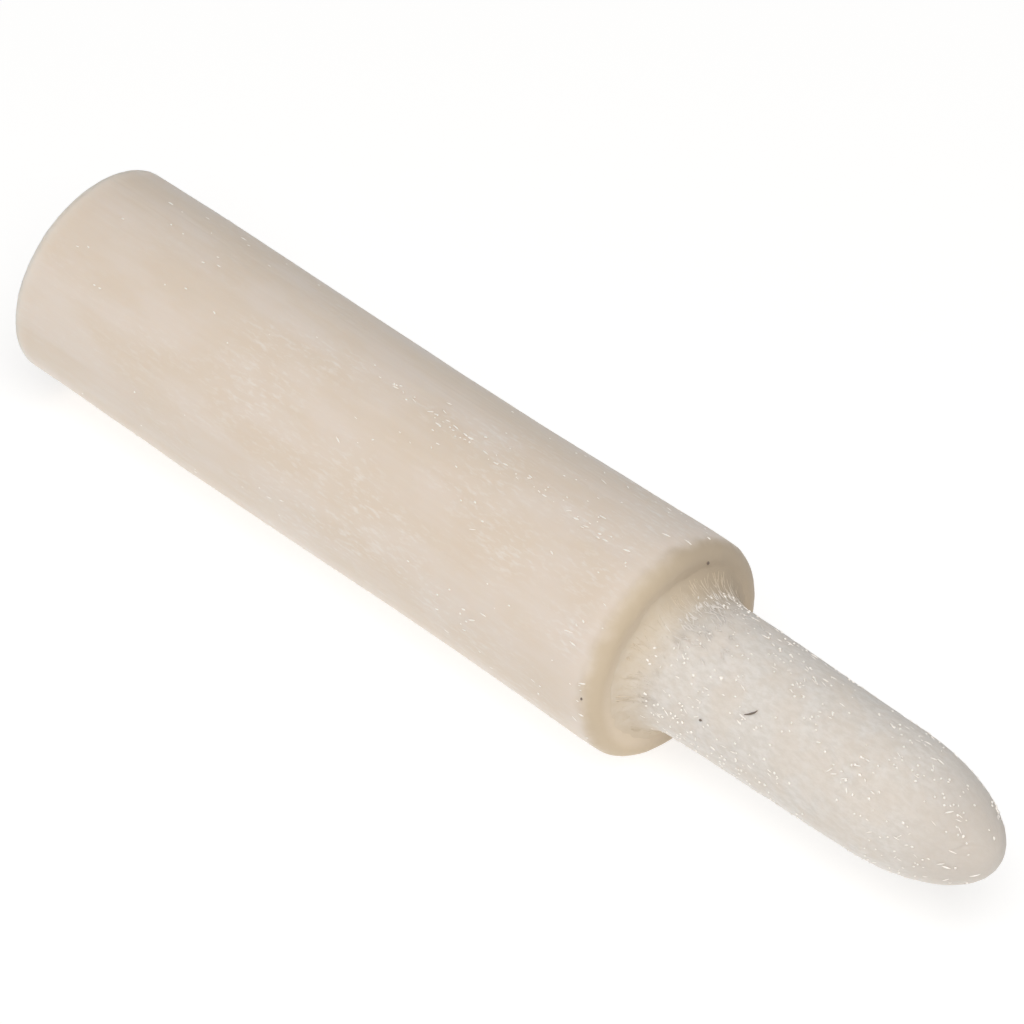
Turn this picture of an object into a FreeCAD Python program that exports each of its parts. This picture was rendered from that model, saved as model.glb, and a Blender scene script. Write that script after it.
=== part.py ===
import FreeCAD, Part
import os

import Sketcher

# A bonded-fibre nib: a thick round body and a thinner tip with a bullet nose.  Millimetres.
# The nib lies along +X with the tip forward; the origin is the middle of the rear end face.
#
#   body_sleeve   resin-rich fibre sleeve that makes the body and its shoulder
#   fibre_core    capillary fibre rod from the rear face to the nose, bonded into the sleeve
#   neck_fuzz     collar of frayed fibre where the core leaves the shoulder

OUT_DIR = "parts"

# Driving dimensions.  Each is written once, here, and bound by name everywhere else.
DIMENSIONS = {
    "body_dia": 4.0,         # outside of the sleeve's straight land, behind the shoulder
    "land_length": 1.6,      # that land, from the shoulder face back
    "rear_dia": 3.8,         # the rest of the sleeve tapers down to this at the rear face
    "body_length": 13.6,     # rear face to shoulder face
    "core_dia": 2.44,        # fibre rod, and the sleeve's bore, which it fills
    "tip_length": 7.04,      # shoulder face to the end of the nose
    "tip_front_dia": 2.29,   # where the ground taper ends and the nose starts
    "nose_length": 2.5,      # the nose is half an ellipsoid, this long
    "shoulder_round": 0.24,  # rounded edge between the body and the shoulder face
    "rear_break": 0.03,      # broken edge of the sawn rear face
    "fuzz_reach": 0.26,      # how far the frayed collar spreads over the shoulder
    "fuzz_rise": 0.55,       # how far it climbs the tip
}

# Sketcher's own numbers for an edge's points, and for the sketch's origin and axes.
START, END, CENTRE = 1, 2, 3
ORIGIN = (-1, START)
NIB_AXIS, RADIUS_AXIS = -1, -2

# Rough places of the sketched points, which the constraints then move to their sizes.
REAR_X, LAND_X, SHOULDER_X, FUZZ_X, NOSE_X, TIP_X = 0.0, 12.0, 13.6, 14.1, 18.0, 20.6
CORE_R, FRONT_R, FUZZ_R, REAR_R, BODY_R = 1.2, 1.1, 1.5, 1.9, 2.0


def make_sheet(doc):
    """The spreadsheet of driving dimensions: one row, and one alias, for each."""
    sheet = doc.addObject("Spreadsheet::Sheet", "dims")
    for row, (alias, value) in enumerate(DIMENSIONS.items(), start=1):
        sheet.set(f"A{row}", alias)
        sheet.set(f"B{row}", str(value))
        sheet.setAlias(f"B{row}", alias)
    doc.recompute()
    return sheet


def new_body(doc, label):
    """An empty PartDesign body, whose label names its STEP file."""
    body = doc.addObject("PartDesign::Body", label)
    body.Label = label
    return body


def half_section(body):
    """A sketch on the body's own XZ plane: its x runs along the nib and its y is the radius."""
    plane = next(f for f in body.Origin.OriginFeatures if f.Role == "XZ_Plane")
    sketch = body.newObject("Sketcher::SketchObject", f"{body.Label}_half_section")
    sketch.AttachmentSupport = [(plane, "")]
    sketch.MapMode = "FlatFace"
    return sketch


def line(sketch, start, end, construction=False):
    """A straight edge between two (x, radius) points."""
    edge = Part.LineSegment(FreeCAD.Vector(*start, 0), FreeCAD.Vector(*end, 0))
    return sketch.addGeometry(edge, construction)


def quarter_ellipse(sketch, centre, half_length, half_height):
    """An elliptical edge from the nib's axis to above its centre, and the ellipse's long axis."""
    ellipse = Part.Ellipse(FreeCAD.Vector(*centre, 0), half_length, half_height)
    edge = sketch.addGeometry(Part.ArcOfEllipse(ellipse, 0.0, 1.5708), False)
    sketch.exposeInternalGeometry(edge)
    long_axis = edge + 1
    return edge, long_axis


def rule(sketch, kind, *where):
    """A constraint that has no size, such as Coincident or Horizontal."""
    sketch.addConstraint(Sketcher.Constraint(kind, *where))


def size(sketch, name, kind, expression, *where):
    """A constraint whose size the spreadsheet drives."""
    value = sketch.evalExpression(expression)
    index = sketch.addConstraint(Sketcher.Constraint(kind, *where, value))
    sketch.renameConstraint(index, name)
    sketch.setExpression(f"Constraints.{name}", expression)


def revolve(body, sketch):
    """Turns the half section once round the nib's axis."""
    turned = body.newObject("PartDesign::Revolution", f"{body.Label}_turned")
    turned.Profile = sketch
    turned.ReferenceAxis = (sketch, ["H_Axis"])
    turned.Angle = 360.0
    body.Document.recompute()
    return turned


def rim(feature, radius, at_x):
    """The name of the round edge of that radius about the nib's axis, in the plane x = at_x."""
    for number, edge in enumerate(feature.Shape.Edges, start=1):
        curve = edge.Curve
        if isinstance(curve, Part.Circle) and abs(curve.Radius - radius) < 1e-6:
            if abs(curve.Center.x - at_x) < 1e-6:
                return f"Edge{number}"
    raise RuntimeError(f"{feature.Label} has no rim of radius {radius} at x = {at_x}")


def dress(body, base, kind, edge, prop, expression):
    """A fillet or chamfer on one edge of the base feature, its size driven by the spreadsheet."""
    feature = body.newObject(f"PartDesign::{kind}", f"{body.Label}_{kind.lower()}")
    feature.Base = (base, [edge])
    feature.setExpression(prop, expression)
    body.Document.recompute()
    return feature


def make_body_sleeve(doc, sheet):
    """A tube with a rounded shoulder, straight in front and slightly tapered to the rear.

    Its bore is the core's own diameter: they are bonded.
    """
    body = new_body(doc, "body_sleeve")
    sketch = half_section(body)
    bore = line(sketch, (REAR_X, CORE_R), (SHOULDER_X, CORE_R))
    shoulder = line(sketch, (SHOULDER_X, CORE_R), (SHOULDER_X, BODY_R))
    land = line(sketch, (SHOULDER_X, BODY_R), (LAND_X, BODY_R))
    taper = line(sketch, (LAND_X, BODY_R), (REAR_X, REAR_R))
    rear = line(sketch, (REAR_X, REAR_R), (REAR_X, CORE_R))
    rule(sketch, "Coincident", bore, END, shoulder, START)
    rule(sketch, "Coincident", shoulder, END, land, START)
    rule(sketch, "Coincident", land, END, taper, START)
    rule(sketch, "Coincident", taper, END, rear, START)
    rule(sketch, "Coincident", rear, END, bore, START)
    rule(sketch, "Horizontal", bore)
    rule(sketch, "Horizontal", land)
    rule(sketch, "Vertical", shoulder)
    rule(sketch, "Vertical", rear)
    rule(sketch, "PointOnObject", rear, START, RADIUS_AXIS)
    size(sketch, "bore_radius", "DistanceY", "dims.core_dia / 2", *ORIGIN, bore, START)
    size(sketch, "land_radius", "DistanceY", "dims.body_dia / 2", *ORIGIN, land, END)
    size(sketch, "rear_radius", "DistanceY", "dims.rear_dia / 2", *ORIGIN, taper, END)
    size(sketch, "length", "DistanceX", "dims.body_length", *ORIGIN, bore, END)
    size(sketch, "land", "DistanceX", "dims.land_length", land, END, land, START)
    tube = revolve(body, sketch)

    front_rim = rim(tube, sheet.get("body_dia") / 2, sheet.get("body_length"))
    rounded = dress(body, tube, "Fillet", front_rim, "Radius", "dims.shoulder_round")
    rear_rim = rim(rounded, sheet.get("rear_dia") / 2, 0.0)
    dress(body, rounded, "Chamfer", rear_rim, "Size", "dims.rear_break")
    return body


def make_fibre_core(doc):
    """The rod: straight inside the sleeve, ground to a slight taper outside it, then the nose."""
    body = new_body(doc, "fibre_core")
    sketch = half_section(body)
    middle = line(sketch, (TIP_X, 0), (REAR_X, 0))
    rear = line(sketch, (REAR_X, 0), (REAR_X, CORE_R))
    rod = line(sketch, (REAR_X, CORE_R), (SHOULDER_X, CORE_R))
    taper = line(sketch, (SHOULDER_X, CORE_R), (NOSE_X, FRONT_R))
    nose, long_axis = quarter_ellipse(sketch, (NOSE_X, 0), TIP_X - NOSE_X, FRONT_R)
    rule(sketch, "Coincident", middle, END, *ORIGIN)
    rule(sketch, "Coincident", middle, END, rear, START)
    rule(sketch, "Coincident", rear, END, rod, START)
    rule(sketch, "Coincident", rod, END, taper, START)
    rule(sketch, "Coincident", taper, END, nose, END)
    rule(sketch, "Coincident", nose, START, middle, START)
    rule(sketch, "Horizontal", middle)
    rule(sketch, "Vertical", rear)
    rule(sketch, "Horizontal", rod)
    rule(sketch, "PointOnObject", nose, CENTRE, NIB_AXIS)
    rule(sketch, "PointOnObject", long_axis, START, NIB_AXIS)
    rule(sketch, "Vertical", nose, CENTRE, nose, END)
    size(sketch, "rod_radius", "DistanceY", "dims.core_dia / 2", *ORIGIN, rod, START)
    size(sketch, "front_radius", "DistanceY", "dims.tip_front_dia / 2", *ORIGIN, nose, END)
    size(sketch, "sleeved_length", "DistanceX", "dims.body_length", *ORIGIN, rod, END)
    size(sketch, "nose", "DistanceX", "dims.nose_length", nose, CENTRE, nose, START)
    size(sketch, "whole_length", "DistanceX", "dims.body_length + dims.tip_length",
         *ORIGIN, nose, START)
    revolve(body, sketch)
    return body


def make_neck_fuzz(doc):
    """The frayed collar: a cone-sided ring that lies on the shoulder face and on the taper."""
    body = new_body(doc, "neck_fuzz")
    sketch = half_section(body)
    foot = line(sketch, (SHOULDER_X, CORE_R), (SHOULDER_X, FUZZ_R))
    cone = line(sketch, (SHOULDER_X, FUZZ_R), (FUZZ_X, CORE_R))
    flank = line(sketch, (FUZZ_X, CORE_R), (SHOULDER_X, CORE_R))
    rule(sketch, "Coincident", foot, END, cone, START)
    rule(sketch, "Coincident", cone, END, flank, START)
    rule(sketch, "Coincident", flank, END, foot, START)
    rule(sketch, "Vertical", foot)
    size(sketch, "core_radius", "DistanceY", "dims.core_dia / 2", *ORIGIN, foot, START)
    size(sketch, "shoulder_at", "DistanceX", "dims.body_length", *ORIGIN, foot, START)
    size(sketch, "reach", "DistanceY", "dims.fuzz_reach", foot, START, foot, END)
    size(sketch, "rise", "DistanceX", "dims.fuzz_rise", foot, START, flank, START)

    # The core's own taper, so that the collar's flank lies on it.
    taper = line(sketch, (SHOULDER_X, CORE_R), (NOSE_X, FRONT_R), construction=True)
    rule(sketch, "Coincident", taper, START, foot, START)
    rule(sketch, "PointOnObject", flank, START, taper)
    size(sketch, "taper_radius", "DistanceY", "dims.tip_front_dia / 2", *ORIGIN, taper, END)
    size(sketch, "taper_end", "DistanceX",
         "dims.body_length + dims.tip_length - dims.nose_length", *ORIGIN, taper, END)
    revolve(body, sketch)
    return body


def check(doc, bodies):
    """Stops unless every feature computed, every sketch is fully held and every solid is sound."""
    for feature in doc.Objects:
        if {"Invalid", "Error"} & set(feature.State):
            raise RuntimeError(f"{feature.Label} did not compute: {feature.State}")
        if feature.TypeId == "Sketcher::SketchObject" and not feature.FullyConstrained:
            raise RuntimeError(f"{feature.Label} has a point that no size holds")
    for body in bodies:
        shape = body.Shape
        if shape.isNull() or not shape.isValid() or len(shape.Solids) != 1:
            raise RuntimeError(f"{body.Label} is not one sound solid")


doc = FreeCAD.newDocument("fibre_nib")
dims = make_sheet(doc)
bodies = [make_body_sleeve(doc, dims), make_fibre_core(doc), make_neck_fuzz(doc)]
doc.recompute()
check(doc, bodies)

os.makedirs(OUT_DIR, exist_ok=True)
for body in bodies:
    body.Shape.exportStep(os.path.join(OUT_DIR, f"{body.Label}.step"))
    box = body.Shape.BoundBox
    print(f"{body.Label}: {box.XLength:.3f} x {box.YLength:.3f} x {box.ZLength:.3f} mm, "
          f"{body.Shape.Volume:.3f} mm3")
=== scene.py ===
import bpy
import numpy as np
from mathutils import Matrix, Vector


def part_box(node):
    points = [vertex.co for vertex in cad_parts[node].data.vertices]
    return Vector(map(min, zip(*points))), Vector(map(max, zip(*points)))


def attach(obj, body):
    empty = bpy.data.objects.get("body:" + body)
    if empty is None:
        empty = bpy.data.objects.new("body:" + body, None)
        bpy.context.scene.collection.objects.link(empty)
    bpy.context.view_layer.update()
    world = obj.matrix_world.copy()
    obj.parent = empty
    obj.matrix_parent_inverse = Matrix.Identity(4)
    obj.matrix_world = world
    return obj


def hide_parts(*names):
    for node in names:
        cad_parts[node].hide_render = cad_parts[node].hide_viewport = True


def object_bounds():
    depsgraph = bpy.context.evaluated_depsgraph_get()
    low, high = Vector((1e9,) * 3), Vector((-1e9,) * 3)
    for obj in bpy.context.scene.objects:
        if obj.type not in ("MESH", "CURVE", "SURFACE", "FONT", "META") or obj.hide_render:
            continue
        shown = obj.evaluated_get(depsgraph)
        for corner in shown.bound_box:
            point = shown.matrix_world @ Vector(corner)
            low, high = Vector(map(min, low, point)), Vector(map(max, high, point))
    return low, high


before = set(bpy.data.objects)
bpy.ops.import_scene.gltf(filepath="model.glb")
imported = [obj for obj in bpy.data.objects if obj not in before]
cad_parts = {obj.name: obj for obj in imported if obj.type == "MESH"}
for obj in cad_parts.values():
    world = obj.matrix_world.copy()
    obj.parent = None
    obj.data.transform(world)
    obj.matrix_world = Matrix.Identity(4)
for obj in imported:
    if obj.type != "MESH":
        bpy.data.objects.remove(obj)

cad_box = [list(map(float, corner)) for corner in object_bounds()]

MM = 0.001

# ---------------------------------------------------------------- camera, floor and light
# The nib is looked down on from its front right, from 0.2 m through a long macro lens, with the
# tip toward the lower right.  It lies on a white lightbox, so that no hard shadow falls beside it.

CAMERA_AZIMUTH = 44.334    # degrees from looking along +Y
CAMERA_ELEVATION = 42.090
CAMERA_DISTANCE = 197.86 * MM
AIM = Vector((9.266, 0.571, 0.0)) * MM
LENS, SENSOR_WIDTH = 421.88, 36.0    # both in millimetres
NEAR_CLIP = 1 * MM

FLOOR_HALF = 400 * MM
FLOOR_WHITE = "A9A8A6"
FLOOR_LAMP = "FFFFFF"
FLOOR_GLOW = 0.71          # a lightbox shines through its own top
SKY_WHITE = "FFFFFF"
SKY_STRENGTH = 0.11
KEY_AZIMUTH, KEY_ELEVATION = 45.0, 62.0
KEY_DISTANCE, KEY_SIZE, KEY_WATTS = 180 * MM, 150 * MM, 0.305


def linear(hex_colour):
    """An sRGB hex colour as linear red, green, blue and a full alpha."""
    srgb = np.array([int(hex_colour[at:at + 2], 16) for at in (0, 2, 4)]) / 255
    low, high = srgb / 12.92, ((srgb + 0.055) / 1.055) ** 2.4
    return (*np.where(srgb <= 0.04045, low, high).tolist(), 1.0)


def new_material(name):
    """An empty node material, its tree, and the output that its shader goes to."""
    material = bpy.data.materials.new(name)
    material.use_nodes = True
    material.node_tree.nodes.clear()
    return material, material.node_tree, material.node_tree.nodes.new("ShaderNodeOutputMaterial")


def node(tree, kind, inputs, **settings):
    """Adds a node.  Inputs maps each socket to another node's output or to a plain value."""
    added = tree.nodes.new(kind)
    for name, value in settings.items():
        setattr(added, name, value)
    for socket, value in inputs.items():
        if isinstance(value, bpy.types.NodeSocket):
            tree.links.new(value, added.inputs[socket])
        else:
            added.inputs[socket].default_value = value
    return added


def toward(azimuth, elevation):
    """The direction from the object to a viewer at that azimuth and elevation, in degrees."""
    turn, rise = np.radians(azimuth), np.radians(elevation)
    return Vector((np.sin(turn) * np.cos(rise), -np.cos(turn) * np.cos(rise), np.sin(rise)))


camera = bpy.data.objects.new("camera", bpy.data.cameras.new("camera"))
bpy.context.collection.objects.link(camera)
camera.location = AIM + toward(CAMERA_AZIMUTH, CAMERA_ELEVATION) * CAMERA_DISTANCE
camera.rotation_euler = (AIM - camera.location).to_track_quat("-Z", "Y").to_euler()
camera.data.lens = LENS
camera.data.sensor_width = SENSOR_WIDTH
camera.data.clip_start = NEAR_CLIP
bpy.context.scene.camera = camera
bpy.context.scene.view_settings.view_transform = "Standard"

floor_height = cad_box[0][2]
floor_mesh = bpy.data.meshes.new("lightbox_top")
floor_mesh.from_pydata([(x * FLOOR_HALF, y * FLOOR_HALF, floor_height)
                        for x, y in ((-1, -1), (1, -1), (1, 1), (-1, 1))], [], [(0, 1, 2, 3)])
floor = bpy.data.objects.new("lightbox_top", floor_mesh)
bpy.context.collection.objects.link(floor)
floor_paint, tree, out = new_material("opal_acrylic_lightbox")
shader = node(tree, "ShaderNodeBsdfPrincipled", {
    "Base Color": linear(FLOOR_WHITE), "Roughness": 0.6,
    "Emission Color": linear(FLOOR_LAMP), "Emission Strength": FLOOR_GLOW})
tree.links.new(shader.outputs[0], out.inputs["Surface"])
floor_mesh.materials.append(floor_paint)

key = bpy.data.objects.new("key_softbox", bpy.data.lights.new("key_softbox", "AREA"))
bpy.context.collection.objects.link(key)
key.data.size = KEY_SIZE
key.data.energy = KEY_WATTS
key.location = AIM + toward(KEY_AZIMUTH, KEY_ELEVATION) * KEY_DISTANCE
key.rotation_euler = (AIM - key.location).to_track_quat("-Z", "Y").to_euler()

sky = bpy.data.worlds.new("white_tent")
bpy.context.scene.world = sky
sky.use_nodes = True
sky.node_tree.nodes["Background"].inputs["Color"].default_value = linear(SKY_WHITE)
sky.node_tree.nodes["Background"].inputs["Strength"].default_value = SKY_STRENGTH


# ---------------------------------------------------------------- sleeve
# The thick part of the nib: polyester fibres laid side by side, bonded with resin while they
# are drawn through a heated die, then cut to length and tumbled, which rounds the shoulder.

BODY_LENGTH, _, BODY_R = np.array(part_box("body_sleeve")[1]) / MM
NIB_LENGTH, _, CORE_R = np.array(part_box("fibre_core")[1]) / MM

REAR_R = 1.9               # sizes from here on are in millimetres
LAND_AT = 12.0             # the sleeve tapers up to this place, and is straight from there on
SHOULDER_ROUND = 0.30
REAR_BREAK = 0.03
SLEEVE_ROUND = 500         # columns of the sleeve's grid, 25 micrometres apart
SLEEVE_STEP = 0.088        # rows along it
REAR_ROWS, EDGE_ROWS = 12, 15    # rows over its rear face; over its rounded edge, and its front
LEAN_TURN = 38 / 360       # the side that the sleeve leans toward at its rear, as drawn rod does
FADE = 0.5                 # the relief fades to nothing over this distance outside the bore
# Layers of noise.  Each is a height, a cell along the nib, a number of cells round it and a seed.
SLEEVE_GRAIN = ((0.0020, 1.1, 250, 1), (0.0026, 1.9, 110, 2), (0.0040, 0.9, 46, 3))
SLEEVE_STIPPLE = ((0.003, 0.055, 170, 4), (0.005, 0.16, 60, 5))


def noise(along, turn, cell, cells_round, seed):
    """Random heights on a net of knots, eased between them by the S-curve 3t^2 - 2t^3.

    Along is in millimetres with knots every cell, turn in turns of the nib with cells_round
    knots, and the net closes on itself, so that it has no seam.  About -1 to 1.
    """
    along, turn = np.broadcast_arrays(along / cell, (turn % 1.0) * cells_round)
    knots = int(np.ceil(along.max() - along.min())) + 3
    net = np.random.default_rng(seed).uniform(-1, 1, (knots, cells_round))
    row, column = np.floor(along).astype(int), np.floor(turn).astype(int)
    row_part, column_part = along - row, turn - column
    row_part = row_part ** 2 * (3 - 2 * row_part)
    column_part = column_part ** 2 * (3 - 2 * column_part)
    row = row - int(np.floor(along.min()))
    column, beside = column % cells_round, (column + 1) % cells_round
    here = net[row, column] * (1 - column_part) + net[row, beside] * column_part
    next_row = net[row + 1, column] * (1 - column_part) + net[row + 1, beside] * column_part
    return here * (1 - row_part) + next_row * row_part


def layered(along, turn, layers):
    """Several noises added together, each with its height."""
    return sum(height * noise(along, turn, cell, cells_round, seed)
               for height, cell, cells_round, seed in layers)


def bump(at, middle, width):
    """A smooth hill of height 1: exp(-(distance / width)^2)."""
    return np.exp(-((at - middle) / width) ** 2)


def turned_points(x, radius, turn, lean=0.0):
    """Points x along the axis and at that radius, turn turns from +Y toward +Z.

    Lean shifts each point sideways, in millimetres, toward the lean's own side.
    """
    y = radius * np.cos(2 * np.pi * turn) + lean * np.cos(2 * np.pi * LEAN_TURN)
    z = radius * np.sin(2 * np.pi * turn) + lean * np.sin(2 * np.pi * LEAN_TURN)
    return np.stack(np.broadcast_arrays(x, y, z), axis=-1)


def smooth_object(name, vertices, faces):
    """An object in the scene with a smooth-shaded mesh, from vertices in millimetres."""
    mesh = bpy.data.meshes.new(name)
    mesh.from_pydata((vertices * MM).tolist(), [], faces)
    mesh.polygons.foreach_set("use_smooth", np.ones(len(faces), dtype=bool))
    made = bpy.data.objects.new(name, mesh)
    bpy.context.collection.objects.link(made)
    return made


def shell_object(name, points, closed_profile):
    """A turned surface from a grid of points, rows along the profile and columns round the nib.

    Columns always close on each other.  A closed profile's last row joins its first, and an
    open one has its two end rows on the axis, each drawn together into one pole.
    """
    rows, columns = points.shape[:2]
    row, column = np.meshgrid(np.arange(rows - (not closed_profile)), np.arange(columns),
                              indexing="ij")
    next_row, beside = (row + 1) % rows, (column + 1) % columns
    quads = np.stack([row * columns + column, row * columns + beside,
                      next_row * columns + beside, next_row * columns + column], axis=-1)
    if closed_profile:
        vertices, faces = points.reshape(-1, 3), quads.reshape(-1, 4).tolist()
    else:
        number = np.arange(rows * columns).reshape(rows, columns) - (columns - 1)
        number[0], number[-1] = 0, number[-1, 0]
        quads = number.ravel()[quads]
        vertices = np.concatenate([points[:1, 0], points[1:-1].reshape(-1, 3), points[-1:, 0]])
        faces = (quads[0][:, [0, 2, 3]].tolist() + quads[1:-1].reshape(-1, 4).tolist()
                 + quads[-1][:, [0, 1, 2]].tolist())
    return smooth_object(name, vertices, faces)


def sleeve_radius(x):
    """The plain sleeve: a straight taper from the rear edge to the land, then a cylinder."""
    return np.minimum(REAR_R + (BODY_R - REAR_R) * x / LAND_AT, BODY_R)


def sleeve_lean(x):
    """Sideways lean of the sleeve: toward one side at the rear, and away from it from 3 mm on."""
    return 0.038 * bump(x, 0.9, 2.6) - 0.020


def sleeve_swell(x, turn):
    """How far the skin stands out from the plain sleeve: waist, front flare and soft dents."""
    waist = 0.010 - 0.046 * bump(x, 8.9, 3.9)
    flare = 0.018 * bump(x, 13.0, 0.7)
    return waist + flare + 0.007 * noise(x, turn, 2.2, 7, 11)


def sleeve_profile():
    """The sleeve's section, from the bore's rear edge round the outside and back along the bore.

    Gives x, radius, and the two parts of the unit normal of each row.
    """
    rear = np.linspace(CORE_R, REAR_R - REAR_BREAK, REAR_ROWS)
    side = np.arange(REAR_BREAK, BODY_LENGTH - SHOULDER_ROUND, SLEEVE_STEP)
    bend = np.linspace(0, np.pi / 2, EDGE_ROWS)
    front = np.linspace(BODY_R - SHOULDER_ROUND, CORE_R, EDGE_ROWS)[1:]
    bore = np.array([BODY_LENGTH - 0.3, BODY_LENGTH / 2, 0.3])
    x = np.concatenate([0 * rear, side, BODY_LENGTH - SHOULDER_ROUND * (1 - np.sin(bend)),
                        BODY_LENGTH + 0 * front, bore])
    radius = np.concatenate([rear, sleeve_radius(side),
                             BODY_R - SHOULDER_ROUND * (1 - np.cos(bend)),
                             front, CORE_R + 0 * bore])
    normal_x = np.concatenate([-1 + 0 * rear, 0 * side, np.sin(bend), 1 + 0 * front, 0 * bore])
    normal_r = np.concatenate([0 * rear, 1 + 0 * side, np.cos(bend), 0 * front, 0 * bore])
    return x, radius, normal_x, normal_r


def make_sleeve():
    """The sleeve's skin with its relief.

    On the side the relief is long fibre grain: noise drawn out along the nib, in widths of
    50, 110 and 270 micrometres.  On the cut faces it is an even stipple of fibre ends.  The
    lean, the waist and the dents fade out toward the bore, which stays true to the core.
    """
    x, radius, normal_x, normal_r = (part[:, None] for part in sleeve_profile())
    turn = np.arange(SLEEVE_ROUND)[None, :] / SLEEVE_ROUND
    outer = np.clip((radius - CORE_R) / FADE, 0, 1)
    grain = layered(x, turn, SLEEVE_GRAIN)
    stipple = layered(radius, turn, SLEEVE_STIPPLE)
    lift = grain * normal_r ** 2 + stipple * normal_x ** 2
    swell = sleeve_swell(x, turn) * outer
    points = turned_points(x + lift * normal_x, radius + swell + lift * normal_r, turn,
                           sleeve_lean(x) * outer)
    return shell_object("sleeve_skin", points, closed_profile=True)


sleeve = make_sleeve()

# Drawn and bonded polyester fibre: waxy, faintly see-through, with soft pale and tan streaks
# along the fibre where more or less resin was taken up, and a satin gloss from the die.
SLEEVE_TAN = "E9DBCB"
SLEEVE_PALE = "ECE0D4"
SLEEVE_DEEP = "DFCBB3"
SLEEVE_SCUFF_AND_RIM_LIGHT = "F4EDE5"
SLEEVE_BAND = "D1BFA5"
SLEEVE_FACE_LIFTED = "DCCCB6"
# Painted shade: a darker tan for the far side of the shoulder face and of the felted root.
FAR_SIDE_SHADE_TAN = "C2B19A"
BAND_OUT, BAND_IN = 1.84, 1.64    # radii between which the band gives way to the face's colour

sleeve_paint, tree, out = new_material("drawn_bonded_polyester_fibre")
place = node(tree, "ShaderNodeTexCoord", {}).outputs["Object"]
axes = node(tree, "ShaderNodeSeparateXYZ", {0: place})
at = axes.outputs["X"]
# Soft patches about 0.7 mm wide and three times as long.
stretched = node(tree, "ShaderNodeMapping", {"Vector": place, "Scale": (0.35, 1.0, 1.0)})
patches = node(tree, "ShaderNodeTexNoise", {
    "Vector": stretched.outputs[0], "Scale": 1500.0, "Detail": 3.0, "Roughness": 0.5})
patch = node(tree, "ShaderNodeMapRange", {
    "Value": patches.outputs["Fac"], "From Min": 0.36, "From Max": 0.66},
    interpolation_type="SMOOTHSTEP")
# Fibre bundles, about 0.12 mm wide and 3 mm long.
drawn_out = node(tree, "ShaderNodeMapping", {"Vector": place, "Scale": (0.04, 1.0, 1.0)})
bundles = node(tree, "ShaderNodeTexNoise", {
    "Vector": drawn_out.outputs[0], "Scale": 8000.0, "Detail": 4.0, "Roughness": 0.6})
bundle = node(tree, "ShaderNodeMapRange", {
    "Value": bundles.outputs["Fac"], "From Min": 0.3, "From Max": 0.7})
colour = node(tree, "ShaderNodeMix", {
    0: patch.outputs[0], 6: linear(SLEEVE_TAN), 7: linear(SLEEVE_PALE)}, data_type="RGBA")
deep = node(tree, "ShaderNodeMath", {0: bundle.outputs[0], 1: 0.12}, operation="MULTIPLY")
colour = node(tree, "ShaderNodeMix", {
    0: deep.outputs[0], 6: colour.outputs[2], 7: linear(SLEEVE_DEEP)}, data_type="RGBA")
# White scuffs, 0.06 mm by 0.2 mm, in patches 1 mm by 3 mm where the skin has been rubbed, and
# fewer toward the rear.
rubbed = node(tree, "ShaderNodeMapping", {"Vector": place, "Scale": (0.30, 1.0, 1.0)})
scuffs = node(tree, "ShaderNodeTexNoise", {
    "Vector": rubbed.outputs[0], "Scale": 16000.0, "Detail": 2.0, "Roughness": 0.6})
scuff = node(tree, "ShaderNodeMapRange", {
    "Value": scuffs.outputs["Fac"], "From Min": 0.50, "From Max": 0.72})
rubs = node(tree, "ShaderNodeTexNoise", {"Vector": stretched.outputs[0], "Scale": 1000.0})
rub = node(tree, "ShaderNodeMapRange", {
    "Value": rubs.outputs["Fac"], "From Min": 0.40, "From Max": 0.62, "To Max": 0.70})
scuffed = node(tree, "ShaderNodeMath", {0: scuff.outputs[0], 1: rub.outputs[0]},
               operation="MULTIPLY")
handled = node(tree, "ShaderNodeMapRange", {
    "Value": at, "From Min": 1.0 * MM, "From Max": 6.0 * MM, "To Min": 0.25})
scuffed = node(tree, "ShaderNodeMath", {0: scuffed.outputs[0], 1: handled.outputs[0]},
               operation="MULTIPLY")
colour = node(tree, "ShaderNodeMix", {
    0: scuffed.outputs[0], 6: colour.outputs[2], 7: linear(SLEEVE_SCUFF_AND_RIM_LIGHT)}, data_type="RGBA")
# The rear rim is painted paler, partly its own paler tone and partly painted light that lifts the
# shade on its rounded edge. The sleeve is paler over its last 0.9 mm before the shoulder, and the
# cut shoulder face shows more resin, most of all in a band at its outer edge.
rear_pale_and_lift = node(tree, "ShaderNodeMapRange", {
    "Value": at, "From Min": 0.35 * MM, "From Max": 0.0, "To Max": 0.35},
    interpolation_type="SMOOTHSTEP")
colour = node(tree, "ShaderNodeMix", {
    0: rear_pale_and_lift.outputs[0], 6: colour.outputs[2], 7: linear(SLEEVE_SCUFF_AND_RIM_LIGHT)}, data_type="RGBA")
rim_pale = node(tree, "ShaderNodeMapRange", {
    "Value": at, "From Min": (BODY_LENGTH - 0.9) * MM, "From Max": (BODY_LENGTH - 0.30) * MM,
    "To Max": 0.6}, interpolation_type="SMOOTHSTEP")
colour = node(tree, "ShaderNodeMix", {
    0: rim_pale.outputs[0], 6: colour.outputs[2], 7: linear(SLEEVE_PALE)}, data_type="RGBA")
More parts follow.
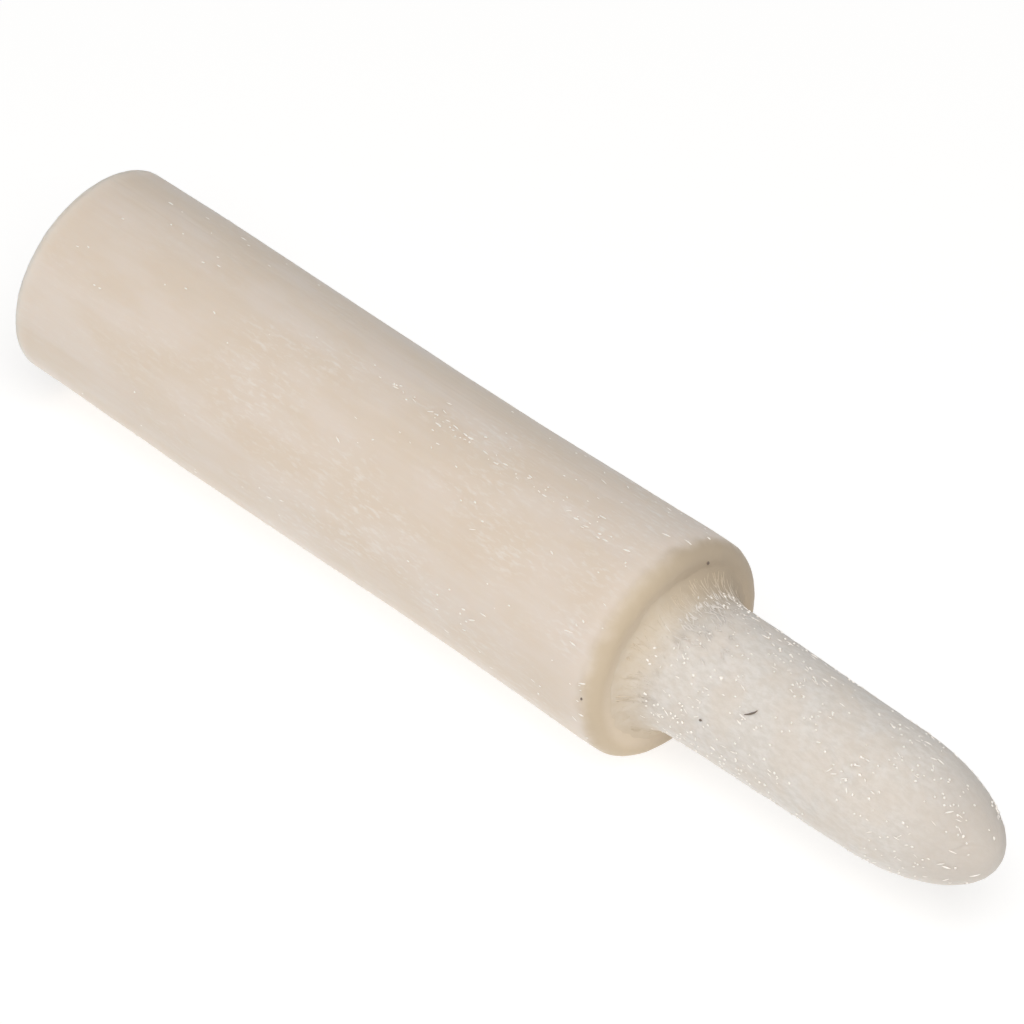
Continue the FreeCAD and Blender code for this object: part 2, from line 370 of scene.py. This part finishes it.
# Noise of 0.4 mm makes the resin's edge uneven.
hazy = node(tree, "ShaderNodeTexNoise", {"Vector": place, "Scale": 2600.0, "Detail": 3.0})
shifted = node(tree, "ShaderNodeMath", {
    0: hazy.outputs["Fac"], 1: 0.30 * MM, 2: at}, operation="MULTIPLY_ADD")
face = node(tree, "ShaderNodeMapRange", {
    "Value": shifted.outputs[0], "From Min": (BODY_LENGTH - 0.28) * MM,
    "From Max": (BODY_LENGTH + 0.08) * MM}, interpolation_type="SMOOTHSTEP")
flat = node(tree, "ShaderNodeVectorMath", {0: place, 1: (0.0, 1.0, 1.0)}, operation="MULTIPLY")
outward = node(tree, "ShaderNodeVectorMath", {0: flat.outputs[0]}, operation="LENGTH")
# Inside the band the face is painted lighter: painted light that offsets the shade where the face
# meets the felted root.
inner_face_lift = node(tree, "ShaderNodeMapRange", {
    "Value": outward.outputs["Value"], "From Min": BAND_OUT * MM, "From Max": BAND_IN * MM},
    interpolation_type="SMOOTHSTEP")
ring = node(tree, "ShaderNodeMix", {
    0: inner_face_lift.outputs[0], 6: linear(SLEEVE_BAND), 7: linear(SLEEVE_FACE_LIFTED)}, data_type="RGBA")
# Painted shade: the face is painted darker toward its far side, +Y.
far_side_shade = node(tree, "ShaderNodeMapRange", {
    "Value": axes.outputs["Y"], "From Min": -0.9 * MM, "From Max": 0.7 * MM},
    interpolation_type="SMOOTHSTEP")
ring = node(tree, "ShaderNodeMix", {
    0: far_side_shade.outputs[0], 6: ring.outputs[2], 7: linear(FAR_SIDE_SHADE_TAN)}, data_type="RGBA")
colour = node(tree, "ShaderNodeMix", {
    0: face.outputs[0], 6: colour.outputs[2], 7: ring.outputs[2]}, data_type="RGBA")
# Single fibres show in the gloss, 0.03 mm wide and 0.8 mm long.
fine = node(tree, "ShaderNodeTexNoise", {
    "Vector": drawn_out.outputs[0], "Scale": 30000.0, "Detail": 3.0})
relief = node(tree, "ShaderNodeBump", {
    "Height": fine.outputs["Fac"], "Strength": 0.25, "Distance": 0.004 * MM})
# The resin in the face stops light from travelling inside it.
clear = node(tree, "ShaderNodeMath", {0: 1.0, 1: face.outputs[0]}, operation="SUBTRACT")
shader = node(tree, "ShaderNodeBsdfPrincipled", {
    "Base Color": colour.outputs[2], "Roughness": 0.5, "Normal": relief.outputs[0],
    "Specular IOR Level": 0.2, "Subsurface Weight": clear.outputs[0],
    "Subsurface Radius": (1.0, 0.94, 0.88), "Subsurface Scale": 0.30 * MM})
tree.links.new(shader.outputs[0], out.inputs["Surface"])
sleeve.data.materials.append(sleeve_paint)
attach(sleeve, "root")
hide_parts("body_sleeve")


# ---------------------------------------------------------------- core and tip
# The capillary rod that carries the ink.  It fills the sleeve's bore, and past the shoulder it
# is ground on a wheel to a slight taper and a bullet nose, which leaves fibre ends all over it.

TIP_FRONT_R = 1.145
NOSE_LENGTH = 2.5
CORE_ROUND = 340           # columns of the core's grid, 22 micrometres apart
TIP_STEP = 0.030           # rows along the tip
FUZZ_REACH, FUZZ_RISE = 0.46, 0.62    # felted root: out over the face, and along the tip
FUZZ_SINK = 0.015          # its edge starts this far under the shoulder face
CREASE_AT, CREASE_TURN = 20.27, 136 / 360
BOND_GAP = 0.005           # the bond line between the rod and the sleeve
FACE_ROWS, ROOT_ROWS, NOSE_ROWS = 30, 30, 90    # over the rear face, felted root and nose
# Layers of noise, as for the sleeve.
GROUND_FIBRE = ((0.0018, 0.055, 150, 21), (0.0020, 0.10, 84, 22), (0.0050, 0.33, 24, 23))
FELT_LUMPS = ((0.003, 0.10, 160, 31), (0.004, 0.25, 60, 32))


def core_radius(x):
    """The tip's radius: a straight taper, then half an ellipsoid."""
    taper_end = NIB_LENGTH - NOSE_LENGTH
    part = np.clip((x - BODY_LENGTH) / (taper_end - BODY_LENGTH), 0, 1)
    nose = np.clip((x - taper_end) / NOSE_LENGTH, 0, 1)
    return (CORE_R + (TIP_FRONT_R - CORE_R) * part) * np.sqrt(1 - nose ** 2)


def tip_lean(x):
    """The tip's lean: 20 micrometres a little past its root, and none at the nose."""
    return 0.020 * bump(x, BODY_LENGTH + 1.2, 1.6)


def felt(x, turn):
    """Extra radius of the felted root: a hollow quarter ellipse from the face to the tip.

    reach * (1 - sqrt(1 - u^2)), u falling from 1 to 0; the reach comes and goes round the nib.
    """
    reach = FUZZ_REACH * (1 + 0.12 * noise(0 * x, turn, 1.0, 13, 33)
                          + 0.06 * noise(0 * x, turn, 1.0, 47, 34))
    u = np.clip(1 - (x - BODY_LENGTH + FUZZ_SINK) / (FUZZ_RISE + FUZZ_SINK), 0, 1)
    return reach * (1 - np.sqrt(1 - u ** 2))


def core_profile():
    """The rod's outline from the middle of its rear face to the end of the nose.

    Inside the sleeve it stands clear of the bore by the bond line.
    """
    rear = np.linspace(0, CORE_R - BOND_GAP - 0.01, FACE_ROWS)
    foot = BODY_LENGTH - FUZZ_SINK
    hidden = np.array([0.01, 4.0, 9.0, BODY_LENGTH - 0.15, foot - 0.002])
    root = foot + (FUZZ_RISE + FUZZ_SINK) * (1 - np.cos(np.linspace(0, np.pi / 2, ROOT_ROWS)))
    taper_end = NIB_LENGTH - NOSE_LENGTH
    taper = np.arange(root[-1] + TIP_STEP, taper_end, TIP_STEP)
    nose = np.linspace(0, np.pi / 2, NOSE_ROWS)
    x = np.concatenate([0 * rear, hidden, root, taper, taper_end + NOSE_LENGTH * np.sin(nose)])
    radius = np.concatenate([rear, CORE_R - BOND_GAP + 0 * hidden, core_radius(root),
                             core_radius(taper), TIP_FRONT_R * np.cos(nose)])
    return x, radius


def make_core():
    """The rod's skin: ground fibre as noise of 50, 90 and 300 micrometres, and a low crease.

    At the shoulder the felted root adds to the radius, with its own coarser lumps.
    """
    x, radius = (part[:, None] for part in core_profile())
    turn = np.arange(CORE_ROUND)[None, :] / CORE_ROUND
    slope_x, slope_r = np.gradient(x[:, 0])[:, None], np.gradient(radius[:, 0])[:, None]
    length = np.hypot(slope_x, slope_r)
    normal_x, normal_r = -slope_r / length, slope_x / length
    path = np.cumsum(length[:, 0])[:, None]
    thin = np.clip(radius / 0.45, 0, 1)
    lift = layered(path, turn, GROUND_FIBRE) * thin
    shown = np.clip((x - BODY_LENGTH) / 0.05, 0, 1) + (x < 0.005)
    outside = x > BODY_LENGTH - FUZZ_SINK - 0.001
    sideways = (turn - CREASE_TURN) * 2 * np.pi * 0.6
    across = x - CREASE_AT + 0.8 * sideways - 0.5 * sideways ** 2
    fold = 0.006 * bump(across, 0.06, 0.05) - 0.014 * bump(across, 0, 0.035)
    lift = lift * shown + fold * bump(sideways, 0, 0.22)
    lumps = layered(path, turn, FELT_LUMPS)
    past = np.clip(1 - (x - BODY_LENGTH) / FUZZ_RISE, 0, 1)
    root = (felt(x, turn) + lumps * shown * past ** 0.5) * outside
    points = turned_points(x + lift * normal_x, radius + root + lift * normal_r, turn,
                           tip_lean(x) * shown)
    return shell_object("core_and_tip", points, closed_profile=False)


core = make_core()

# Ground polyester fibre: near white and matte, mottled at the size of the fibre bundles.
CORE_CREAM = "ECE6DF"
CORE_GREY = "E2DBD2"
CORE_WARM = "E6DACC"
FELT_TAN = "D3C3AC"
NOSE_SHADE_GREY = "D3CAC0"

core_paint, tree, out = new_material("ground_polyester_fibre")
place = node(tree, "ShaderNodeTexCoord", {}).outputs["Object"]
# Mottling of single bundles, 0.09 mm across and twice as long, and soft patches of 0.6 mm.
drawn_out = node(tree, "ShaderNodeMapping", {"Vector": place, "Scale": (0.5, 1.0, 1.0)})
mottle = node(tree, "ShaderNodeTexNoise", {
    "Vector": drawn_out.outputs[0], "Scale": 11000.0, "Detail": 4.0, "Roughness": 0.65})
mottled = node(tree, "ShaderNodeMapRange", {
    "Value": mottle.outputs["Fac"], "From Min": 0.38, "From Max": 0.62})
soft = node(tree, "ShaderNodeTexNoise", {"Vector": place, "Scale": 1600.0, "Detail": 2.0})
softened = node(tree, "ShaderNodeMapRange", {
    "Value": soft.outputs["Fac"], "From Min": 0.42, "From Max": 0.62},
    interpolation_type="SMOOTHSTEP")
colour = node(tree, "ShaderNodeMix", {
    0: mottled.outputs[0], 6: linear(CORE_GREY), 7: linear(CORE_CREAM)}, data_type="RGBA")
warm = node(tree, "ShaderNodeMath", {0: softened.outputs[0], 1: 0.35}, operation="MULTIPLY")
colour = node(tree, "ShaderNodeMix", {
    0: warm.outputs[0], 6: colour.outputs[2], 7: linear(CORE_WARM)}, data_type="RGBA")
# Resin has crept into the felted root and fades out along a ragged line: noise of 0.15 mm moves it
# by about 0.1 mm either way. Toward the far side, +Y, the tan is painted further along and darker:
# painted shade.
axes = node(tree, "ShaderNodeSeparateXYZ", {0: place})
at = axes.outputs["X"]
ragged = node(tree, "ShaderNodeTexNoise", {"Vector": place, "Scale": 6500.0, "Detail": 4.0})
past = node(tree, "ShaderNodeMath", {0: at, 1: BODY_LENGTH * MM}, operation="SUBTRACT")
away = node(tree, "ShaderNodeMath", {0: past.outputs[0]}, operation="ABSOLUTE")
moved = node(tree, "ShaderNodeMath", {
    0: ragged.outputs["Fac"], 1: 0.45 * MM, 2: away.outputs[0]}, operation="MULTIPLY_ADD")
moved = node(tree, "ShaderNodeMath", {
    0: axes.outputs["Y"], 1: -0.14, 2: moved.outputs[0]}, operation="MULTIPLY_ADD")
dry = node(tree, "ShaderNodeMapRange", {
    "Value": moved.outputs[0], "From Min": 0.22 * MM, "From Max": 1.20 * MM},
    interpolation_type="SMOOTHSTEP")
far_side_shade = node(tree, "ShaderNodeMapRange", {
    "Value": axes.outputs["Y"], "From Min": -0.8 * MM, "From Max": 0.6 * MM},
    interpolation_type="SMOOTHSTEP")
resin_and_far_shade = node(tree, "ShaderNodeMix", {
    0: far_side_shade.outputs[0], 6: linear(FELT_TAN), 7: linear(FAR_SIDE_SHADE_TAN)}, data_type="RGBA")
colour = node(tree, "ShaderNodeMix", {
    0: dry.outputs[0], 6: resin_and_far_shade.outputs[2], 7: colour.outputs[2]}, data_type="RGBA")
# Painted shade: the nose is painted greyer toward its end, which faces away from the light.
nose_shade = node(tree, "ShaderNodeMapRange", {
    "Value": at, "From Min": (NIB_LENGTH - 2.2) * MM, "From Max": NIB_LENGTH * MM,
    "To Max": 0.8}, interpolation_type="SMOOTHSTEP")
colour = node(tree, "ShaderNodeMix", {
    0: nose_shade.outputs[0], 6: colour.outputs[2], 7: linear(NOSE_SHADE_GREY)}, data_type="RGBA")
# Cut fibre ends, 0.03 mm across, roughen it.
fine = node(tree, "ShaderNodeTexNoise", {"Vector": place, "Scale": 38000.0, "Detail": 2.0})
relief = node(tree, "ShaderNodeBump", {
    "Height": fine.outputs["Fac"], "Strength": 0.4, "Distance": 0.007 * MM})
# Light travels inside the dry fibre, but not in the thin resinous felt.
clear = node(tree, "ShaderNodeMapRange", {
    "Value": away.outputs[0], "From Min": 0.15 * MM, "From Max": 0.70 * MM},
    interpolation_type="SMOOTHSTEP")
shader = node(tree, "ShaderNodeBsdfPrincipled", {
    "Base Color": colour.outputs[2], "Roughness": 0.7, "Normal": relief.outputs[0],
    "Specular IOR Level": 0.3, "Subsurface Weight": clear.outputs[0],
    "Subsurface Radius": (1.0, 0.95, 0.90), "Subsurface Scale": 0.16 * MM})
tree.links.new(shader.outputs[0], out.inputs["Surface"])
core.data.materials.append(core_paint)
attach(core, "root")
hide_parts("fibre_core")


# ---------------------------------------------------------------- frayed collar
# Where grinding stopped at the shoulder, torn polyester fibre is left on the core's felted
# root: fine bristle all round, and whiter wisps on one side where the wheel tore most.

COLLAR_FIBRES = 560
BRUSH_FIBRES = 150
BRUSH_TURN, BRUSH_SPREAD = 86 / 360, 19 / 360    # where the tearing is longest and whitest


def threads(name, paths, radii, sides):
    """Round threads, one along each path: paths is threads x points x 3, radii threads x points.

    Each ring lies square to its path, on two axes found from the path's direction and the way
    out from the nib's axis, and both ends are closed with a flat cap.
    """
    count, steps = radii.shape
    along = np.gradient(paths, axis=1)
    along /= np.linalg.norm(along, axis=2, keepdims=True)
    across = np.cross(along, paths * (0, 1, 1))
    across /= np.linalg.norm(across, axis=2, keepdims=True)
    above = np.cross(across, along)
    angle = (np.arange(sides) * 2 * np.pi / sides)[:, None]
    ring = across[:, :, None] * np.cos(angle) + above[:, :, None] * np.sin(angle)
    vertices = (paths[:, :, None] + ring * radii[:, :, None, None]).reshape(-1, 3)
    number = np.arange(count * steps * sides).reshape(count, steps, sides)
    beside = np.roll(number, -1, axis=2)
    walls = np.stack([number[:, :-1], number[:, 1:], beside[:, 1:], beside[:, :-1]], axis=-1)
    faces = walls.reshape(-1, 4).tolist() + number[:, 0].tolist() + number[:, -1, ::-1].tolist()
    return smooth_object(name, vertices, faces)


def make_collar_fibres():
    """Fine bristle: short straight threads along the felt's hollow, half sunk in it."""
    rng = np.random.default_rng(41)
    part = np.linspace(0, 1, 6)[None, :]
    start = BODY_LENGTH + 0.03 + 0.45 * rng.uniform(0, 1, (COLLAR_FIBRES, 1)) ** 1.4
    x = start + rng.uniform(0.08, 0.24, (COLLAR_FIBRES, 1)) * part
    stand = 0.004 * rng.uniform(-0.5, 1, (COLLAR_FIBRES, 1)) * part
    turn = rng.uniform(0, 1, (COLLAR_FIBRES, 1)) + rng.normal(0, 0.006, (COLLAR_FIBRES, 1)) * part
    width = rng.uniform(0.004, 0.009, (COLLAR_FIBRES, 1)) * (1 - 0.6 * part ** 2)
    radius = core_radius(x) + felt(x, turn) + stand - 0.5 * width
    return threads("collar_fibres", turned_points(x, radius, turn, tip_lean(x)), width, 4)


def make_brush_fibres():
    """Loose wisps gathered on one side: short threads at angles near the tip's own."""
    rng = np.random.default_rng(43)
    part = np.linspace(0, 1, 6)[None, :]
    start = BODY_LENGTH + 0.24 + rng.beta(1.1, 1.8, (BRUSH_FIBRES, 1)) * 1.3
    length = rng.uniform(0.06, 0.18, (BRUSH_FIBRES, 1))
    angle = rng.normal(0.2, 0.35, (BRUSH_FIBRES, 1))
    x = start + length * np.cos(angle) * part
    lift = rng.uniform(-0.003, 0.006, (BRUSH_FIBRES, 1)) * np.sin(np.pi * part * 0.75) - 0.002
    turn = (rng.normal(BRUSH_TURN, BRUSH_SPREAD, (BRUSH_FIBRES, 1))
            + length * np.sin(angle) * part / (2 * np.pi * CORE_R))
    width = rng.uniform(0.009, 0.020, (BRUSH_FIBRES, 1)) * np.sin(np.pi * (0.12 + 0.80 * part))
    radius = core_radius(x) + felt(x, turn) + lift - 0.4 * width
    return threads("brush_fibres", turned_points(x, radius, turn, tip_lean(x)), width, 5)


collar_fibres = make_collar_fibres()
brush_fibres = make_brush_fibres()

# Torn polyester fibre: tan where resin holds the root, and near white where it is loose.
FIBRE_ROOT = "D6C6AE"
FIBRE_PALE = "E3DACF"
BRUSH_WHITE = "EDE5DC"

fibre_paint, tree, out = new_material("torn_polyester_fibre")
place = node(tree, "ShaderNodeTexCoord", {}).outputs["Object"]
at = node(tree, "ShaderNodeSeparateXYZ", {0: place}).outputs["X"]
climb = node(tree, "ShaderNodeMapRange", {
    "Value": at, "From Min": (BODY_LENGTH + 0.05) * MM, "From Max": (BODY_LENGTH + 0.45) * MM})
colour = node(tree, "ShaderNodeMix", {
    0: climb.outputs[0], 6: linear(FIBRE_ROOT), 7: linear(FIBRE_PALE)}, data_type="RGBA")
shader = node(tree, "ShaderNodeBsdfPrincipled", {
    "Base Color": colour.outputs[2], "Roughness": 0.6, "Specular IOR Level": 0.3})
tree.links.new(shader.outputs[0], out.inputs["Surface"])
collar_fibres.data.materials.append(fibre_paint)

# Loose polyester fibre with no resin on it: clear, so it looks white in bulk, and glossier.
brush_paint, tree, out = new_material("loose_clear_polyester_fibre")
shader = node(tree, "ShaderNodeBsdfPrincipled", {
    "Base Color": linear(BRUSH_WHITE), "Roughness": 0.3})
tree.links.new(shader.outputs[0], out.inputs["Surface"])
brush_fibres.data.materials.append(brush_paint)
for piece in (collar_fibres, brush_fibres):
    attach(piece, "root")
    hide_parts("neck_fuzz")


# ---------------------------------------------------------------- fibre ends, painted as glints
# Clear fibre cut across by the wheel: short stubs, painted near white and given a glow so that
# they shine as painted glints. They crowd the ground tip, and fewer lie along the sleeve.

END_SIDES = 6
TIP_TRIES, SLEEVE_TRIES = 3400, 1000    # places drawn at random, of which the noise keeps some
ROW_ENDS = 56              # ends in the broken line along the sleeve
ROW_FROM, ROW_TO = 6.8, 12.8
ROW_ANGLE, ROW_AT = 92, 7.2    # it lies this many degrees from +Y toward +Z, at this x
ROW_DRIFT = 1.3            # and this many degrees further round for each millimetre along


def stubs(name, paths_x, paths_turn, radius, lean, width):
    """Short spindles along those paths, thickest in the middle."""
    part = np.linspace(0, 1, paths_x.shape[1])[None, :]
    paths = turned_points(paths_x, radius, paths_turn, lean)
    return threads(name, paths, width * np.sin(np.pi * (0.10 + 0.80 * part)), END_SIDES)


def short_paths(rng, x, turn, radius, lengths, spread):
    """Paths of five points centred on x and turn, at angles spread about the nib's direction."""
    part = np.linspace(-0.5, 0.5, 5)[None, :]
    length = lengths[:, None] * part
    angle = rng.normal(0, spread, (len(x), 1))
    path_x = x[:, None] + length * np.cos(angle)
    return path_x, turn[:, None] + length * np.sin(angle) / (2 * np.pi * radius[:, None])


def make_tip_ends():
    """Fibre ends on the tip, gathered where a noise is high so that they come in clusters.

    Fewer are kept where the tip is slimmer, so that they are as crowded there as elsewhere.
    """
    rng = np.random.default_rng(51)
    x = rng.uniform(BODY_LENGTH + 0.30, NIB_LENGTH - 0.14, TIP_TRIES)
    turn = rng.uniform(0, 1, TIP_TRIES)
    keep = ((noise(x, turn, 0.5, 12, 52) + rng.uniform(-1, 1, TIP_TRIES) * 1.3 > 0.45)
            & (rng.uniform(0, 1, TIP_TRIES) < core_radius(x) / CORE_R))
    x, turn = x[keep], turn[keep]
    lengths = rng.uniform(0.030, 0.058, len(x)) * rng.choice([1, 1, 1, 2.6], len(x))
    path_x, path_turn = short_paths(rng, x, turn, core_radius(x), lengths, 0.45)
    width = rng.uniform(0.010, 0.027, (len(x), 1)) * np.where(lengths > 0.06, 0.6, 1)[:, None]
    radius = core_radius(path_x) + felt(path_x, path_turn) - 0.15 * width
    return stubs("tip_fibre_end_glints", path_x, path_turn, radius, tip_lean(path_x), width)


def make_sleeve_ends():
    """Fibre ends on the sleeve: some scattered, and a broken line of them down its upper side."""
    rng = np.random.default_rng(61)
    x = BODY_LENGTH - 0.25 - (BODY_LENGTH - 0.8) * rng.uniform(0, 1, SLEEVE_TRIES) ** 1.4
    turn = rng.uniform(0, 1, SLEEVE_TRIES)
    keep = (noise(x, turn, 1.5, 16, 62) + rng.uniform(-1, 1, SLEEVE_TRIES) * 0.8) > 0.50
    line_x = rng.uniform(ROW_FROM, ROW_TO, ROW_ENDS)
    line_turn = (ROW_ANGLE + (line_x - ROW_AT) * ROW_DRIFT) / 360 + rng.normal(0, 0.006, ROW_ENDS)
    x = np.concatenate([x[keep], line_x])
    turn = np.concatenate([turn[keep], line_turn])
    lengths = rng.uniform(0.035, 0.070, len(x)) * rng.choice([1, 1, 2.4], len(x))
    path_x, path_turn = short_paths(rng, x, turn, sleeve_radius(x), lengths, 0.25)
    width = rng.uniform(0.009, 0.021, (len(x), 1))
    radius = sleeve_radius(path_x) + sleeve_swell(path_x, path_turn) - 0.4 * width
    return stubs("sleeve_fibre_end_glints", path_x, path_turn, radius, sleeve_lean(path_x), width)


tip_ends = make_tip_ends()
sleeve_ends = make_sleeve_ends()

# Clear polyester fibre cut on the wheel: glossy ends, painted near white and given a glow though
# they
# are no lamp: painted glints.
ENDS_GLINT_WHITE = "FAF4EC"
ENDS_PAINTED_GLOW = "FFF8F0"

ends_glint_paint, tree, out = new_material("cut_clear_polyester_fibre_painted_glint")
shader = node(tree, "ShaderNodeBsdfPrincipled", {
    "Base Color": linear(ENDS_GLINT_WHITE), "Roughness": 0.30, "IOR": 1.60,
    "Emission Color": linear(ENDS_PAINTED_GLOW), "Emission Strength": 0.12})
tree.links.new(shader.outputs[0], out.inputs["Surface"])
for piece, slot in ((tip_ends, "core_fibre"), (sleeve_ends, "sleeve_fibre")):
    piece.data.materials.append(ends_glint_paint)
    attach(piece, "root")


# ---------------------------------------------------------------- stray lint
# One dark lint fibre caught on the tip and three dark specks, as any felted part picks up in
# handling.  They only cling to the surface.

LINT_BROWN = "7C7066"
LINT_PARTS = (0, 0.35, 0.7, 1)           # how far along the lint each place below is
LINT_X = (15.93, 16.02, 16.08, 16.11)
LINT_ANGLES = (140.5, 137.4, 134.6, 131.8)
SPECK_TIP, SPECK_SLEEVE = 15.20, 13.36   # where two of the specks lie along the nib
SPECK_FACE_R = 1.696                     # how far out the third lies on the shoulder face
SPECK_ANGLES = (164.0, 66.5, 175.0)      # tip, shoulder face, sleeve
SPECK_RADII = (0.028, 0.028, 0.020)


def make_lint():
    """The lint: a curved thread through four (x, turn) places, thickest in the middle."""
    part = np.linspace(0, 1, 9)
    x = np.interp(part, LINT_PARTS, LINT_X)
    turn = np.interp(part, LINT_PARTS, LINT_ANGLES) / 360
    paths = turned_points(x, core_radius(x) + 0.008, turn, tip_lean(x))[None]
    return threads("lint_fibre", paths, (0.005 + 0.013 * np.sin(np.pi * part))[None], 6)


def make_specks():
    """Three specks: blunt spindles on the tip, on the shoulder face and behind the shoulder."""
    part = np.linspace(-1, 1, 7)[None, :]
    at_x = np.array([SPECK_TIP, BODY_LENGTH + 0.006, SPECK_SLEEVE])[:, None]
    at_turn = np.array(SPECK_ANGLES)[:, None] / 360
    at_radius = np.array([core_radius(SPECK_TIP) + 0.004, SPECK_FACE_R, BODY_R + 0.018])[:, None]
    paths = turned_points(at_x, at_radius, at_turn + 0.0022 * part, 0.0)
    width = np.array(SPECK_RADII)[:, None] * np.sqrt(1.04 - part ** 2)
    return threads("dark_specks", paths, width, 8)


# Dyed cotton lint, dull and rough.
lint_paint, tree, out = new_material("dark_cotton_lint")
shader = node(tree, "ShaderNodeBsdfPrincipled", {
    "Base Color": linear(LINT_BROWN), "Roughness": 0.8})
tree.links.new(shader.outputs[0], out.inputs["Surface"])
for piece in (make_lint(), make_specks()):
    piece.data.materials.append(lint_paint)
    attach(piece, "root")
